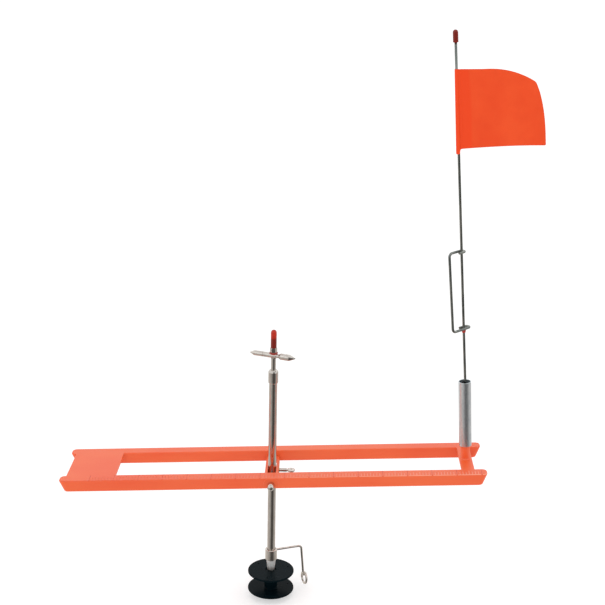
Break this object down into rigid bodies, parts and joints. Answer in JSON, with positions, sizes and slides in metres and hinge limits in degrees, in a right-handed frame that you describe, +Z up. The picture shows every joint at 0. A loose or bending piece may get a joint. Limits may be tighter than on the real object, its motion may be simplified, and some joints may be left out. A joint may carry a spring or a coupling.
{
  "type": "ice fishing tip-up",
  "caption": "Rail-frame ice fishing tip-up: a folding shaft with a line spool below and a trip bar above, and a sprung wire mast with a flag and catch bail.",
  "frame": {"origin": "on the plane of the rails' undersides, straight below the shaft's pivot, at the middle of the frame's width; the hole in the ice is below it", "axes": "+Z up along the shaft and the mast, +X along the frame towards the flag mast, +Y across the frame away from the rail with the ruler"},
  "size_m": [0.4988, 0.0992, 0.6008],
  "materials": {
    "orange_plastic": "moulded polypropylene, satin",
    "black_plastic": "moulded, glossy",
    "polished_steel": "polished stainless",
    "nickel": "satin nickel",
    "zinc": "zinc plated, satin",
    "spring_steel": "bare spring wire",
    "brass_insert": "turned",
    "nylon": "natural nylon",
    "rubber_seal": "nitrile",
    "red_washer": "moulded",
    "red_vinyl": "dipped vinyl",
    "flag_vinyl": "smooth coated vinyl"
  },
  "bodies": {
    "frame": {"ladder_frame": "orange_plastic"},
    "hub": {"pivot_hub": "orange_plastic", "pivot_screw_near": "polished_steel", "pivot_screw_far": "polished_steel", "pivot_washers": "nylon", "clamp_insert": "brass_insert"},
    "clamp_screw": {"thumb_screw": "nickel"},
    "shaft": {"shaft_tube": "polished_steel", "top_ferrule": "polished_steel", "bottom_ferrule": "nickel", "upper_bushing": "nylon", "lower_bushing": "nylon", "upper_seal": "rubber_seal", "lower_seal": "rubber_seal"},
    "line_guide": {"guide_collar": "nickel", "guide_wire": "nickel"},
    "rotor": {"trip_rod": "polished_steel", "trip_bar": "nickel", "bar_washer": "red_washer", "bar_nut": "polished_steel", "rod_cap": "red_vinyl", "spool": "black_plastic", "spool_washer": "nickel", "spool_nut": "nickel"},
    "mast_socket": {"socket_tube": "zinc", "mast_plug": "nylon", "mast_wire_root": "spring_steel"},
    "mast_upper": {"mast_wire": "spring_steel", "mast_cap": "red_vinyl", "flag": "flag_vinyl"},
    "bail_stop": {"bail_stop": "red_washer"},
    "bail": {"bail_wire": "spring_steel"}
  },
  "joints": [
    {"name": "shaft_fold", "type": "hinge", "parent": "frame", "child": "hub", "pos_m": [0, 0, 0.004], "axis": [0, 1, 0], "range_deg": [-92.7, 87.2]},
    {"name": "clamp_turn", "type": "hinge", "parent": "hub", "child": "clamp_screw", "pos_m": [-0.00009, 0, 0.0022], "axis": [0.9989, 0, -0.0475], "range_deg": [-540, 0]},
    {"name": "shaft_height", "type": "slide", "parent": "hub", "child": "shaft", "axis": [0.0475, 0, 0.9989], "range_m": [-0.045, 0.038]},
    {"name": "guide_swivel", "type": "hinge", "parent": "shaft", "child": "line_guide", "pos_m": [-0.00539, 0, -0.09786], "axis": [0.0475, 0, 0.9989], "continuous": true},
    {"name": "rotor_spin", "type": "hinge", "parent": "shaft", "child": "rotor", "pos_m": [-0.00055, 0, 0.00403], "axis": [0.0475, 0, 0.9989], "continuous": true},
    {"name": "mast_swivel", "type": "hinge", "parent": "frame", "child": "mast_socket", "pos_m": [0.2044, 0, 0.012], "axis": [-0.019, 0, 0.9998], "continuous": true},
    {"name": "mast_bend", "type": "hinge", "parent": "mast_socket", "child": "mast_upper", "pos_m": [0.20218, 0, 0.12596], "axis": [0, -1, 0], "range_deg": [-24, 75], "stiffness_Nm_per_rad": 1},
    {"name": "bail_slide", "type": "slide", "parent": "mast_upper", "child": "bail_stop", "axis": [-0.0375, 0, 0.9993], "range_m": [-0.005, 0.095]},
    {"name": "bail_swivel", "type": "hinge", "parent": "bail_stop", "child": "bail", "pos_m": [0.20099, 0, 0.15764], "axis": [-0.0375, 0, 0.9993], "continuous": true}
  ]
}
